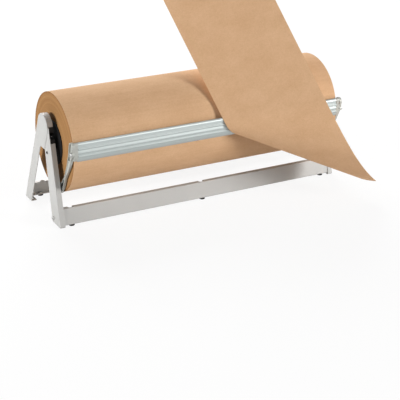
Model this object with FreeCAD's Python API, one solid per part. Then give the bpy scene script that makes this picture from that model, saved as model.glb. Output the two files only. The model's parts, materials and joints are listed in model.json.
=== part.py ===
import FreeCAD, Part
import math
import os

from FreeCAD import Vector

os.makedirs("parts", exist_ok=True)

# The cutter stands on the plane Z = 0. X runs along the roll, -Y is the side the knife is on, and the
# origin is the middle of the four counter screw holes. Lengths are in millimetres.

# Driving dimensions
ROLL_LENGTH = 609.6
ROLL_RADIUS = 101.7
ROLL_AXIS = (-21.0, 158.0)
CORE_BORE_RADIUS = 38.1
CORE_WALL = 4.0
SHAFT_RADIUS = 6.35

FRAME_OUTER_X = 327.5
CHANNEL_DEPTH = 12.5
SHEET_METAL = 1.5

HEAD_CENTRE = (-19.0, 195.5)
HEAD_RADIUS = 25.0
REAR_LEG_LEAN_DEG = 24.2
REAR_LEG_WIDTH = 29.8
HEAD_FLANGE_END = (-37.0, 199.0)
CROTCH_Z = 147.0
CROTCH_REAR_RADIUS = 6.0
CROTCH_FRONT_RADIUS = 2.0

FRONT_LEG_FRONT_BASE_Y = -94.2
FRONT_LEG_REAR_BASE_Y = -50.5
FRONT_LEG_FRONT_SLOPE = 0.2426
FRONT_LEG_REAR_SLOPE = 0.187
FRONT_LEG_TOP_Z = 198.0
FRONT_FLANGE_TOP_Z = 167.5
REAR_FLANGE_TOP_Z = 138.0
LEG_CORNER_RADIUS = 3.0
BEND_OUTER_RADIUS = 2.2
BEND_INNER_RADIUS = 0.7
LEG_EDGE_RADIUS = 1.3

RAIL_BOTTOM_Z = 3.6
RAIL_TOP_Z = 37.6
RAIL_DEPTH = 12.5
RAIL_TOP_DEPTH = 9.0
RAIL_HOLE_SETBACK = 7.2
ACCESS_NOTCH_RADIUS = 5.0
# Inner corners of the tabs in the rails' ends, as (y, z, corner radius)
FRONT_TAB_CORNERS = ((-74.5, 36.85, 2.0), (-53.0, 18.0, 6.0), (-53.0, 4.35, 2.0))
REAR_TAB_CORNERS = ((69.5, 36.85, 4.0), (61.0, 20.0, 4.0), (64.0, 4.35, 2.0))

FOOT_X = (-298.0, 0.0, 298.0)
FOOT_RADIUS = 6.0
FOOT_CHAMFER = 0.6
FOOT_SCREW_RADIUS = 1.6
FOOT_SCREW_TIP_Z = 1.2
FOOT_HEAD_RADIUS = 3.2
FOOT_HEAD_HEIGHT = 2.2

COUNTER_HOLE_X = 319.5
COUNTER_HOLE_Y = 74.0
COUNTER_HOLE_RADIUS = 2.75
HOLE_PLAY = 0.1

FRONT_RAIL_SCREW = (-57.0, 10.0)
REAR_RAIL_STUD = (69.5, 16.0)
RAIL_SCREW_RADIUS = 2.5
RAIL_SCREW_REACH = 6.0
RAIL_HEAD_RADIUS = 4.2
RAIL_HEAD_HEIGHT = 2.4
RAIL_NUT_THICKNESS = 3.5
RAIL_NUT_FLATS = 8.0

# The shaft bearing: a block that fills the head, with a lug below it that its screw goes into
BEARING_REAR_Y = -4.0
BEARING_BOTTOM_Z = 150.5
BEARING_LUG_REAR_Y = -27.0
BEARING_LUG_BOTTOM_Z = 139.0
BEARING_REAR_RADIUS = 3.0
BEARING_LUG_RADIUS = 1.5
BEARING_END_GAP = 0.4
BEARING_SIDE_GAP = 0.2
BEARING_SCREW = (-36.6, 144.0)
BEARING_SCREW_RADIUS = 1.9
BEARING_SCREW_REACH = 5.8
BEARING_HEAD_RADIUS = 3.0
BEARING_HEAD_HEIGHT = 1.3
SLOT_RISE_DEG = 40.8
SLOT_CLEARANCE = 0.1
SLOT_LENGTH = 60.0

PIVOT = (-59.0, 72.0)
PIVOT_RADIUS = 4.0
PIVOT_CLEARANCE = 0.05
PIVOT_PAD_RADIUS = 7.0
PIVOT_PAD_THICKNESS = 1.5
PIVOT_HEAD_RADIUS = 6.0
PIVOT_HEAD_THICKNESS = 1.0

ARM_INNER_X = 306.8
ARM_OUTER_X = 311.8
ARM_WEB = 1.5
ARM_RIM = 1.6
ARM_GROOVE_DEPTH = 1.2
ARM_UPPER_POCKET_Z = 150.0
ARM_LOWER_POCKET_Z = 100.0
ARM_EYE_RADIUS = 9.0
HEAD_BOSS_RADIUS = 5.0

BAR_END_X = 298.7
BAR_BACK_Y = -123.4
BAR_FACE_Y = -130.6
BAR_TOP_Z = 187.0
BAR_BOTTOM_Z = 152.6
RIDGE_HEIGHT = 1.6
RIDGE_HALF_WIDTH = 1.2
RIDGE_HALF_FOOT = 2.4
RIDGE_Z = (178.4, 163.6)
BLADE_BOTTOM_Z = 150.0
BLADE_TOP_Z = 161.9
BLADE_THICKNESS = 0.95
BAR_UPPER_PORT = (-126.5, 187.0)
BAR_LOWER_PORT = (-127.2, 168.5)
BAR_BEAD_RADIUS = 4.2
BAR_PORT_DEPTH = 12.0
UPPER_SCREW_RADIUS = 1.6
UPPER_HEAD_RADIUS = 2.2
UPPER_HEAD_HEIGHT = 1.8
LOWER_SCREW_RADIUS = 2.1
LOWER_HEAD_RADIUS = 4.4
LOWER_HEAD_HEIGHT = 3.5

SPRING_WIRE_RADIUS = 0.9
SPRING_COIL_RADIUS = 6.2
SPRING_WHOLE_TURNS = 4
SPRING_INNER_X = 313.0
SPRING_OUTER_X = 322.0
SPRING_HOOK = (-76.5, 90.5)
SPRING_HOOK_X = 309.6

PLUG_FLANGE_RADIUS = 45.5
PLUG_FLANGE_THICKNESS = 2.4
PLUG_HUB_RADIUS = 13.0
PLUG_DEPTH = 32.0
PLUG_WALL = 3.0
PLUG_RIB_WIDTH = 2.5
PLUG_RIBS = 6
SET_SCREW_RADIUS = 2.5
SET_SCREW_SOCKET_RADIUS = 1.2
SET_SCREW_SOCKET_DEPTH = 2.0
SHAFT_CHAMFER = 1.0

# The pulled-out sheet: where it leaves the blade, and its size and the lines it bends along when flat
SHEET_THICKNESS = 0.5
SHEET_NIP = (-125.5, 148.9)
SHEET_RIGHT_X = 301.3
SHEET_LEFT_X = -305.0
SHEET_PULLED_LENGTH = 202.0
SHEET_DROP_DEG = 74.5
SHEET_BEND_DEG = 175.0
SHEET_BEND_AT_BLADE = (82.3, 2.5)
SHEET_BEND_AT_EDGE = (653.0, 54.0)
SHEET_BEND_STEPS = 72
SHEET_FACET_STEPS = 12

# Planes that follow from the driving dimensions
FRAME_INNER_X = FRAME_OUTER_X - CHANNEL_DEPTH
REAR_WEB_INNER_X = FRAME_OUTER_X - SHEET_METAL
FRONT_WEB_INNER_X = REAR_WEB_INNER_X - SHEET_METAL
LEAN_SIN = math.sin(math.radians(REAR_LEG_LEAN_DEG))
LEAN_COS = math.cos(math.radians(REAR_LEG_LEAN_DEG))
LEAN_SLOPE = LEAN_SIN / LEAN_COS
REAR_TANGENT = (HEAD_CENTRE[0] + HEAD_RADIUS * LEAN_COS, HEAD_CENTRE[1] + HEAD_RADIUS * LEAN_SIN)
FRONT_TANGENT = (HEAD_CENTRE[0] - HEAD_RADIUS * LEAN_COS, HEAD_CENTRE[1] - HEAD_RADIUS * LEAN_SIN)
REAR_BASE_Y = REAR_TANGENT[0] + REAR_TANGENT[1] * LEAN_SLOPE
NARROW_BASE_Y = REAR_BASE_Y - REAR_LEG_WIDTH / LEAN_COS
FRONT_SKIN = SHEET_METAL / math.cos(math.atan(FRONT_LEG_FRONT_SLOPE))
REAR_SKIN = SHEET_METAL / LEAN_COS
ROLL_END_X = ROLL_LENGTH / 2
PLUG_FLANGE_X = ROLL_END_X + PLUG_FLANGE_THICKNESS
PLUG_HUB_X = FRAME_INNER_X - 1.5
SET_SCREW_X = (PLUG_FLANGE_X + PLUG_HUB_X) / 2


def front_edge_y(z):
    return FRONT_LEG_FRONT_BASE_Y + FRONT_LEG_FRONT_SLOPE * z


def front_leg_rear_y(z):
    return FRONT_LEG_REAR_BASE_Y + FRONT_LEG_REAR_SLOPE * z


def rear_edge_y(z):
    return REAR_BASE_Y - LEAN_SLOPE * z


def narrow_edge_y(z):
    return NARROW_BASE_Y - LEAN_SLOPE * z


def save(shape, node):
    if not shape.isValid():
        print("invalid shape:", node)
    shape.exportStep("parts/" + node + ".step")


def mirrored(shape):
    return shape.mirror(Vector(0, 0, 0), Vector(1, 0, 0))


def save_pair(shape, name):
    save(shape, "right_" + name)
    save(mirrored(shape), "left_" + name)


def both_sides(shapes):
    return shapes + [mirrored(shape) for shape in shapes]


def rounded_wire(corners, x):
    """A closed wire in the plane X = x through (y, z, corner radius) points."""
    count = len(corners)
    edges = []
    starts = []
    ends = []
    for index, (y, z, radius) in enumerate(corners):
        corner = Vector(x, y, z)
        before = Vector(x, corners[index - 1][0], corners[index - 1][1])
        after = Vector(x, corners[(index + 1) % count][0], corners[(index + 1) % count][1])
        if radius == 0:
            starts.append(corner)
            ends.append(corner)
            edges.append(None)
            continue
        to_before = (before - corner).normalize()
        to_after = (after - corner).normalize()
        half = to_before.getAngle(to_after) / 2
        reach = radius / math.tan(half)
        start = corner + to_before * reach
        end = corner + to_after * reach
        centre = corner + (to_before + to_after).normalize() * (radius / math.sin(half))
        middle = centre + (corner - centre).normalize() * radius
        starts.append(start)
        ends.append(end)
        edges.append(Part.Arc(start, middle, end).toShape())
    outline = []
    for index in range(count):
        if edges[index] is not None:
            outline.append(edges[index])
        following = (index + 1) % count
        if (starts[following] - ends[index]).Length > 1e-6:
            outline.append(Part.LineSegment(ends[index], starts[following]).toShape())
    return Part.Wire(outline)


def prism(corners, x_low, x_high):
    """A solid along X whose section is a polygon of (y, z) or (y, z, corner radius) points."""
    rounded = [tuple(corner) + (0,) if len(corner) == 2 else corner for corner in corners]
    face = Part.Face(rounded_wire(rounded, x_low))
    return face.extrude(Vector(x_high - x_low, 0, 0))


def inset(corners, distance):
    """The polygon of (y, z, radius) points moved inwards by a distance, whichever way it runs."""
    count = len(corners)
    area = 0
    for index in range(count):
        here = corners[index]
        after = corners[(index + 1) % count]
        area += here[0] * after[1] - after[0] * here[1]
    turn = 1 if area > 0 else -1
    moved = []
    for index in range(count):
        before = corners[index - 1]
        here = corners[index]
        after = corners[(index + 1) % count]
        first = Vector(here[0] - before[0], here[1] - before[1], 0).normalize()
        second = Vector(after[0] - here[0], after[1] - here[1], 0).normalize()
        first_normal = Vector(-first.y, first.x, 0) * turn
        second_normal = Vector(-second.y, second.x, 0) * turn
        bisector = first_normal + second_normal
        shift = bisector * (2 * distance / bisector.dot(bisector))
        concave = (first.x * second.y - first.y * second.x) * turn < 0
        radius = here[2]
        if radius > 0:
            radius = radius + distance if concave else max(radius - distance, 0.2)
        moved.append((here[0] + shift.x, here[1] + shift.y, radius))
    return moved


def block(x_low, x_high, y_low, y_high, z_low, z_high):
    return Part.makeBox(x_high - x_low, y_high - y_low, z_high - z_low, Vector(x_low, y_low, z_low))


def rod_x(radius, x_low, x_high, place):
    return Part.makeCylinder(radius, x_high - x_low, Vector(x_low, place[0], place[1]), Vector(1, 0, 0))


def rod_z(radius, z_low, z_high, x, y):
    return Part.makeCylinder(radius, z_high - z_low, Vector(x, y, z_low), Vector(0, 0, 1))


def tube_x(outer_radius, inner_radius, x_low, x_high, place):
    return rod_x(outer_radius, x_low, x_high, place).cut(rod_x(inner_radius, x_low, x_high, place))


def rounded_rim(solid, outer_x, is_raw):
    """Rounds the edges at x = outer_x, apart from holes and the edges that is_raw names by their middle."""
    rim = []
    for edge in solid.Edges:
        if edge.BoundBox.XMin > outer_x - 0.01 and not edge.Closed and not is_raw(edge.CenterOfMass):
            rim.append(edge)
    return solid.makeFillet(LEG_EDGE_RADIUS, rim)


def counter_hole(y):
    return rod_z(COUNTER_HOLE_RADIUS, -1, SHEET_METAL + 1, COUNTER_HOLE_X, y)


# Rear leg: a pressed web, flanged round its head, down its rear edge and under its foot
def rear_leg():
    crotch_front = FRONT_TANGENT[0] + (FRONT_TANGENT[1] - CROTCH_Z) * LEAN_SLOPE
    outline = [
        (FRONT_TANGENT[0], FRONT_TANGENT[1], 0),
        (REAR_TANGENT[0], REAR_TANGENT[1], 0),
        (REAR_BASE_Y, 0, LEG_CORNER_RADIUS),
        (NARROW_BASE_Y, 0, 0),
        (narrow_edge_y(CROTCH_Z), CROTCH_Z, CROTCH_REAR_RADIUS),
        (crotch_front, CROTCH_Z, CROTCH_FRONT_RADIUS),
    ]
    solid = prism(outline, FRAME_INNER_X, FRAME_OUTER_X)
    solid = solid.fuse(rod_x(HEAD_RADIUS, FRAME_INNER_X, FRAME_OUTER_X, HEAD_CENTRE))
    hollow = prism(inset(outline, SHEET_METAL), FRAME_INNER_X, REAR_WEB_INNER_X)
    head_hollow = rod_x(HEAD_RADIUS - SHEET_METAL, FRAME_INNER_X, REAR_WEB_INNER_X, HEAD_CENTRE)
    solid = solid.cut(hollow.fuse(head_hollow))
    # The front side has no flange from the head, where the front leg is tucked in, down to the foot
    reach = 2 * SHEET_METAL
    open_side = [
        (FRONT_LEG_FRONT_BASE_Y, SHEET_METAL),
        (FRONT_LEG_FRONT_BASE_Y, HEAD_FLANGE_END[1]),
        HEAD_FLANGE_END,
        (crotch_front + 2 * reach, CROTCH_Z + reach),
        (narrow_edge_y(CROTCH_Z) + reach, CROTCH_Z + reach),
        (narrow_edge_y(SHEET_METAL) + reach, SHEET_METAL),
    ]
    solid = solid.cut(prism(open_side, FRAME_INNER_X, REAR_WEB_INNER_X))
    solid = solid.cut(counter_hole(COUNTER_HOLE_Y))

    def is_raw(middle):
        return middle.z < FRONT_TANGENT[1] and middle.y < narrow_edge_y(middle.z) + SHEET_METAL

    return rounded_rim(solid.removeSplitter(), FRAME_OUTER_X, is_raw)


# Front leg: a narrower channel tucked under the head, with its flanges cut away for the bearing
def front_leg():
    outline = [
        (front_edge_y(0), 0, LEG_CORNER_RADIUS),
        (front_edge_y(FRONT_LEG_TOP_Z), FRONT_LEG_TOP_Z, 0),
        (front_leg_rear_y(FRONT_LEG_TOP_Z), FRONT_LEG_TOP_Z, 0),
        (front_leg_rear_y(0), 0, LEG_CORNER_RADIUS),
    ]
    solid = prism(outline, FRAME_INNER_X, REAR_WEB_INNER_X)
    solid = solid.cut(prism(inset(outline, SHEET_METAL), FRAME_INNER_X, FRONT_WEB_INNER_X))
    front = front_edge_y(FRONT_FLANGE_TOP_Z) - 1
    middle = (front_edge_y(REAR_FLANGE_TOP_Z) + front_leg_rear_y(REAR_FLANGE_TOP_Z)) / 2
    back = front_leg_rear_y(FRONT_LEG_TOP_Z) + 1
    for start, low in ((front, FRONT_FLANGE_TOP_Z), (middle, REAR_FLANGE_TOP_Z)):
        solid = solid.cut(block(FRAME_INNER_X, FRONT_WEB_INNER_X, start, back, low, FRONT_LEG_TOP_Z + 1))
    solid = solid.cut(counter_hole(-COUNTER_HOLE_Y))
    solid = solid.cut(rod_x(RAIL_SCREW_RADIUS + HOLE_PLAY, FRAME_INNER_X, FRAME_OUTER_X, FRONT_RAIL_SCREW))
    solid = solid.cut(rod_x(BEARING_SCREW_RADIUS + HOLE_PLAY, FRAME_INNER_X, FRAME_OUTER_X, BEARING_SCREW))

    def is_raw(middle):
        return middle.z > FRONT_LEG_TOP_Z - 1

    return rounded_rim(solid.removeSplitter(), REAR_WEB_INNER_X, is_raw)


# Rails: leaning channels with a bent tab in both ends, and a top flange notched above each of three feet
def front_hole_y(z):
    return front_edge_y(z) + FRONT_SKIN + RAIL_HOLE_SETBACK


def rear_hole_y(z):
    return rear_edge_y(z) - REAR_SKIN - RAIL_HOLE_SETBACK


def rail(edge_y, skin, tab_corners, end, fastener, hole_y):
    """A rail inside the leg edge edge_y(z). The skin is positive in front and negative at the rear."""
    low = RAIL_BOTTOM_Z
    high = RAIL_TOP_Z
    low_in = low + SHEET_METAL
    high_in = high - SHEET_METAL
    depth = math.copysign(RAIL_DEPTH, skin)
    top_depth = math.copysign(RAIL_TOP_DEPTH, skin)
    section = [
        (edge_y(low) + skin, low, BEND_OUTER_RADIUS),
        (edge_y(high) + skin, high, BEND_OUTER_RADIUS),
        (edge_y(high) + skin + top_depth, high),
        (edge_y(high) + skin + top_depth, high_in),
        (edge_y(high_in) + 2 * skin, high_in, BEND_INNER_RADIUS),
        (edge_y(low_in) + 2 * skin, low_in, BEND_INNER_RADIUS),
        (edge_y(low) + skin + depth, low_in),
        (edge_y(low) + skin + depth, low),
    ]
    tab = [
        (edge_y(low_in) + 1.5 * skin, low_in - SHEET_METAL / 2),
        (edge_y(high_in) + 1.5 * skin, high_in + SHEET_METAL / 2),
        *tab_corners,
    ]
    solid = prism(section, -end, end)
    for outer in (end, SHEET_METAL - end):
        solid = solid.fuse(prism(tab, outer - SHEET_METAL, outer))
        hole = rod_x(RAIL_SCREW_RADIUS + HOLE_PLAY, outer - 2 * SHEET_METAL, outer + 1, fastener)
        solid = solid.cut(hole)
    for x in FOOT_X:
        access = rod_z(ACCESS_NOTCH_RADIUS, high_in - 1, high + 1, x, hole_y(high))
        foot_hole = rod_z(FOOT_SCREW_RADIUS + HOLE_PLAY, low - 1, low_in + 1, x, hole_y(low))
        solid = solid.cut([access, foot_hole])
    return solid.removeSplitter()


def front_rail():
    return rail(front_edge_y, FRONT_SKIN, FRONT_TAB_CORNERS, FRONT_WEB_INNER_X, FRONT_RAIL_SCREW,
                front_hole_y)


def rear_rail():
    return rail(rear_edge_y, -REAR_SKIN, REAR_TAB_CORNERS, REAR_WEB_INNER_X, REAR_RAIL_STUD, rear_hole_y)


# Rubber feet under the rails, each held by a pan-head screw from above
def rubber_feet(y):
    feet = []
    for x in FOOT_X:
        foot = rod_z(FOOT_RADIUS, 0, RAIL_BOTTOM_Z, x, y)
        rim = [edge for edge in foot.Edges if edge.Closed and edge.CenterOfMass.z < 0.01]
        foot = foot.makeChamfer(FOOT_CHAMFER, rim)
        feet.append(foot.cut(rod_z(FOOT_SCREW_RADIUS, FOOT_SCREW_TIP_Z, RAIL_BOTTOM_Z + 1, x, y)))
    return Part.makeCompound(feet)


def foot_screws():
    seat = RAIL_BOTTOM_Z + SHEET_METAL
    screws = []
    for y in (front_hole_y(RAIL_BOTTOM_Z), rear_hole_y(RAIL_BOTTOM_Z)):
        for x in FOOT_X:
            shank = rod_z(FOOT_SCREW_RADIUS, FOOT_SCREW_TIP_Z, seat, x, y)
            head = rod_z(FOOT_HEAD_RADIUS, seat, seat + FOOT_HEAD_HEIGHT, x, y)
            screws.append(shank.fuse(head).removeSplitter())
    return Part.makeCompound(screws)


def cross_slot(solid, x_face, place, length, depth):
    """Cuts a screwdriver cross into a head whose outer face is at x_face."""
    half_length = length / 2
    half_width = 0.4
    for half_y, half_z in ((half_length, half_width), (half_width, half_length)):
        cutter = block(x_face - depth, x_face + 1, place[0] - half_y, place[0] + half_y,
                       place[1] - half_z, place[1] + half_z)
        solid = solid.cut(cutter)
    return solid


def head_screw(place, seat_x, shank_radius, shank_tip_x, head_radius, head_height):
    """A pan-head screw along X whose head stands on seat_x and whose shank runs inwards."""
    head = rod_x(head_radius, seat_x, seat_x + head_height, place)
    rim = [edge for edge in head.Edges if edge.Closed and edge.CenterOfMass.x > seat_x + head_height - 0.01]
    head = head.makeFillet(head_height * 0.4, rim)
    screw = head.fuse(rod_x(shank_radius, shank_tip_x, seat_x, place)).removeSplitter()
    return cross_slot(screw, seat_x + head_height, place, head_radius * 1.1, head_height * 0.5)


def rail_screws():
    tip_x = FRONT_WEB_INNER_X - RAIL_SCREW_REACH
    screw = head_screw(FRONT_RAIL_SCREW, REAR_WEB_INNER_X, RAIL_SCREW_RADIUS, tip_x,
                       RAIL_HEAD_RADIUS, RAIL_HEAD_HEIGHT)
    # No fastener shows on the rear legs, so their studs are welded to the inside
    stud = rod_x(RAIL_SCREW_RADIUS, REAR_WEB_INNER_X - RAIL_SCREW_REACH, REAR_WEB_INNER_X, REAR_RAIL_STUD)
    return Part.makeCompound(both_sides([screw, stud]))


def hexagon_nut(place, x_high):
    reach = RAIL_NUT_FLATS / 2 / math.cos(math.radians(30))
    corners = []
    for step in range(6):
        angle = math.radians(60 * step)
        corners.append((place[0] + reach * math.cos(angle), place[1] + reach * math.sin(angle)))
    nut = prism(corners, x_high - RAIL_NUT_THICKNESS, x_high)
    return nut.cut(rod_x(RAIL_SCREW_RADIUS, x_high - RAIL_NUT_THICKNESS - 1, x_high + 1, place))


def rail_nuts():
    front = hexagon_nut(FRONT_RAIL_SCREW, FRONT_WEB_INNER_X - SHEET_METAL)
    rear = hexagon_nut(REAR_RAIL_STUD, REAR_WEB_INNER_X - SHEET_METAL)
    return Part.makeCompound(both_sides([front, rear]))


# Shaft bearing: a moulded block inside the head, with a slot that runs down and back from its front face
def shaft_bearing():
    front_low = FRONT_FLANGE_TOP_Z + BEARING_END_GAP
    front_high = FRONT_LEG_TOP_Z - BEARING_END_GAP
    behind_flange = FRONT_SKIN + BEARING_SIDE_GAP
    body = [
        (front_edge_y(front_low), front_low),
        (front_edge_y(front_high), front_high),
        (BEARING_REAR_Y, front_high, BEARING_REAR_RADIUS),
        (BEARING_REAR_Y, BEARING_BOTTOM_Z, BEARING_REAR_RADIUS),
        (BEARING_LUG_REAR_Y, BEARING_BOTTOM_Z),
        (BEARING_LUG_REAR_Y, BEARING_LUG_BOTTOM_Z, BEARING_LUG_RADIUS),
        (front_edge_y(BEARING_LUG_BOTTOM_Z) + behind_flange, BEARING_LUG_BOTTOM_Z, BEARING_LUG_RADIUS),
        (front_edge_y(front_low) + behind_flange, front_low),
    ]
    solid = prism(body, FRAME_INNER_X, FRONT_WEB_INNER_X)
    seat_radius = SHAFT_RADIUS + SLOT_CLEARANCE
    rise = math.radians(SLOT_RISE_DEG)
    along = (-math.cos(rise), math.sin(rise))
    across = (math.sin(rise) * seat_radius, math.cos(rise) * seat_radius)
    mouth = (ROLL_AXIS[0] + along[0] * SLOT_LENGTH, ROLL_AXIS[1] + along[1] * SLOT_LENGTH)
    slot = [
        (ROLL_AXIS[0] + across[0], ROLL_AXIS[1] + across[1]),
        (mouth[0] + across[0], mouth[1] + across[1]),
        (mouth[0] - across[0], mouth[1] - across[1]),
        (ROLL_AXIS[0] - across[0], ROLL_AXIS[1] - across[1]),
    ]
    solid = solid.cut(prism(slot, FRAME_INNER_X - 1, FRONT_WEB_INNER_X + 1))
    solid = solid.cut(rod_x(seat_radius, FRAME_INNER_X - 1, FRONT_WEB_INNER_X + 1, ROLL_AXIS))
    screw_hole = rod_x(BEARING_SCREW_RADIUS, FRONT_WEB_INNER_X - BEARING_SCREW_REACH, FRONT_WEB_INNER_X + 1,
                       BEARING_SCREW)
    return solid.cut(screw_hole).removeSplitter()


def bearing_screws():
    tip_x = FRONT_WEB_INNER_X - BEARING_SCREW_REACH
    screw = head_screw(BEARING_SCREW, REAR_WEB_INNER_X, BEARING_SCREW_RADIUS, tip_x,
                       BEARING_HEAD_RADIUS, BEARING_HEAD_HEIGHT)
    return Part.makeCompound(both_sides([screw]))


# Pivot rivet: welded to the front leg's web, carrying the knife arm on its inner end
def pivot_rivet():
    pad_x = FRONT_WEB_INNER_X - PIVOT_PAD_THICKNESS
    head_x = ARM_INNER_X - HOLE_PLAY
    pad = rod_x(PIVOT_PAD_RADIUS, pad_x, FRONT_WEB_INNER_X, PIVOT)
    shank = rod_x(PIVOT_RADIUS, head_x, pad_x, PIVOT)
    head = rod_x(PIVOT_HEAD_RADIUS, head_x - PIVOT_HEAD_THICKNESS, head_x, PIVOT)
    return pad.fuse([shank, head]).removeSplitter()


# Torsion spring: a coil round the rivet, one end against the leg and one hooked into the arm's channel
def wire_run(start, end):
    run = Part.makeCylinder(SPRING_WIRE_RADIUS, (end - start).Length, start, end - start)
    return run.fuse(Part.makeSphere(SPRING_WIRE_RADIUS, end))


def torsion_spring():
    to_hook = Vector(0, SPRING_HOOK[0] - PIVOT[0], SPRING_HOOK[1] - PIVOT[1])
    hook_angle = math.degrees(math.atan2(to_hook.z, to_hook.y))
    start_angle = hook_angle + math.degrees(math.acos(SPRING_COIL_RADIUS / to_hook.Length))
    # The coil ends at its top, from where the wire runs forward to the leg's front flange
    turns = SPRING_WHOLE_TURNS + (450 - start_angle) / 360
    height = SPRING_OUTER_X - SPRING_INNER_X
    helix = Part.makeHelix(height / turns, height, SPRING_COIL_RADIUS)
    section = Part.makeCircle(SPRING_WIRE_RADIUS, Vector(SPRING_COIL_RADIUS, 0, 0), Vector(0, 1, 0))
    coil = Part.Wire(helix).makePipeShell([Part.Wire(section)], True, True)
    # The helix winds about Z, so it is turned to wind about X, with angles from +Y towards +Z
    coil.rotate(Vector(0, 0, 0), Vector(0, 1, 0), 90)
    coil.rotate(Vector(0, 0, 0), Vector(1, 0, 0), 90 + start_angle)
    coil.translate(Vector(SPRING_INNER_X, PIVOT[0], PIVOT[1]))
    start = Vector(SPRING_INNER_X, PIVOT[0] + SPRING_COIL_RADIUS * math.cos(math.radians(start_angle)),
                   PIVOT[1] + SPRING_COIL_RADIUS * math.sin(math.radians(start_angle)))
    corner = Vector(SPRING_INNER_X, SPRING_HOOK[0], SPRING_HOOK[1])
    hook_end = Vector(SPRING_HOOK_X, SPRING_HOOK[0], SPRING_HOOK[1])
    top_z = PIVOT[1] + SPRING_COIL_RADIUS
    coil_end = Vector(SPRING_OUTER_X, PIVOT[0], top_z)
    leg_end = Vector(SPRING_OUTER_X, front_edge_y(top_z) + FRONT_SKIN + SPRING_WIRE_RADIUS + 0.3, top_z)
    runs = [wire_run(start, corner), wire_run(corner, hook_end), wire_run(coil_end, leg_end)]
    return coil.fuse(runs).removeSplitter()


# Knife bar: a ribbed extrusion with a screw port in its top bead, one lower down, and a blade rebate
def ridge(z):
    return [
        (BAR_FACE_Y, z + RIDGE_HALF_FOOT, 0.6),
        (BAR_FACE_Y - RIDGE_HEIGHT, z + RIDGE_HALF_WIDTH, 0.8),
        (BAR_FACE_Y - RIDGE_HEIGHT, z - RIDGE_HALF_WIDTH, 0.8),
        (BAR_FACE_Y, z - RIDGE_HALF_FOOT, 0.6),
    ]


def knife_bar():
    rebate_y = BAR_BACK_Y - BLADE_THICKNESS - 0.05
    rebate_z = BLADE_TOP_Z + HOLE_PLAY
    profile = [
        (BAR_BACK_Y, rebate_z),
        (BAR_BACK_Y, BAR_TOP_Z),
        (BAR_FACE_Y, BAR_TOP_Z),
        *ridge(RIDGE_Z[0]),
        (BAR_FACE_Y - RIDGE_HEIGHT / 2, sum(RIDGE_Z) / 2),
        *ridge(RIDGE_Z[1]),
        (BAR_FACE_Y + 1.2, 156.0, 4.0),
        (BAR_FACE_Y + 3.6, BAR_BOTTOM_Z, 1.0),
        (rebate_y, BAR_BOTTOM_Z),
        (rebate_y, rebate_z),
    ]
    solid = prism(profile, -BAR_END_X, BAR_END_X)
    solid = solid.fuse(rod_x(BAR_BEAD_RADIUS, -BAR_END_X, BAR_END_X, BAR_UPPER_PORT))
    for port, radius in ((BAR_UPPER_PORT, UPPER_SCREW_RADIUS), (BAR_LOWER_PORT, LOWER_SCREW_RADIUS)):
        solid = solid.cut(both_sides([rod_x(radius, BAR_END_X - BAR_PORT_DEPTH, BAR_END_X, port)]))
    groove = [(BAR_BACK_Y + 1, 174.0), (BAR_BACK_Y + 1, 180.5), (-128.0, 180.5, 1.0), (-128.0, 174.0, 1.0)]
    solid = solid.cut(prism(groove, -BAR_END_X, BAR_END_X))
    return solid.removeSplitter()


def cutting_blade():
    front = BAR_BACK_Y - BLADE_THICKNESS
    section = [
        (BAR_BACK_Y, BLADE_TOP_Z),
        (BAR_BACK_Y, BLADE_BOTTOM_Z + 0.2),
        (BAR_BACK_Y - 0.3, BLADE_BOTTOM_Z),
        (front, BLADE_BOTTOM_Z + 2.5),
        (front, BLADE_TOP_Z),
    ]
    return prism(section, -BAR_END_X, BAR_END_X)


# Knife arm: a casting with a grooved outer side, and a pad on its inner side that the bar's end butts on
def arm_outline():
    return [
        (-66.0, 65.0, 0),
        (-76.5, 78.0, 18.0),
        (-92.0, 107.0, 60.0),
        (-115.0, 136.5, 60.0),
        (-129.5, 166.5, 40.0),
        (-134.3, 192.4, 8.5),
        (-117.2, 191.2, 8.0),
        (-111.5, 166.0, 30.0),
        (-102.5, 139.0, 60.0),
        (-86.5, 108.0, 24.0),
        (-73.0, 92.0, 16.0),
        (-54.0, 79.4, 0),
    ]


def arm_pocket():
    """What is cut from the outer side: a shallow groove that is deeper above and below its middle stretch."""
    inner = inset(arm_outline(), ARM_RIM)
    deep = prism(inner, ARM_INNER_X + ARM_WEB, ARM_OUTER_X)
    middle = block(ARM_INNER_X, ARM_OUTER_X - ARM_GROOVE_DEPTH, BAR_FACE_Y - 10, PIVOT[0],
                   ARM_LOWER_POCKET_Z, ARM_UPPER_POCKET_Z)
    eye = rod_x(ARM_EYE_RADIUS, ARM_INNER_X, ARM_OUTER_X, PIVOT)
    screw_seat = rod_x(HEAD_BOSS_RADIUS, ARM_INNER_X, ARM_OUTER_X, BAR_LOWER_PORT)
    return deep.cut([middle, eye, screw_seat])


def arm_pad():
    front = BAR_FACE_Y - 0.6
    bottom = BAR_BOTTOM_Z + 1
    top = BAR_TOP_Z + BAR_BEAD_RADIUS
    outline = [
        (BAR_BACK_Y, bottom, 1.0),
        (BAR_BACK_Y, top, 3.0),
        (front, top, 4.0),
        (front, bottom + 8, 6.0),
        (front + 3, bottom, 2.0),
    ]
    return prism(outline, BAR_END_X + HOLE_PLAY, ARM_INNER_X)


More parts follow.
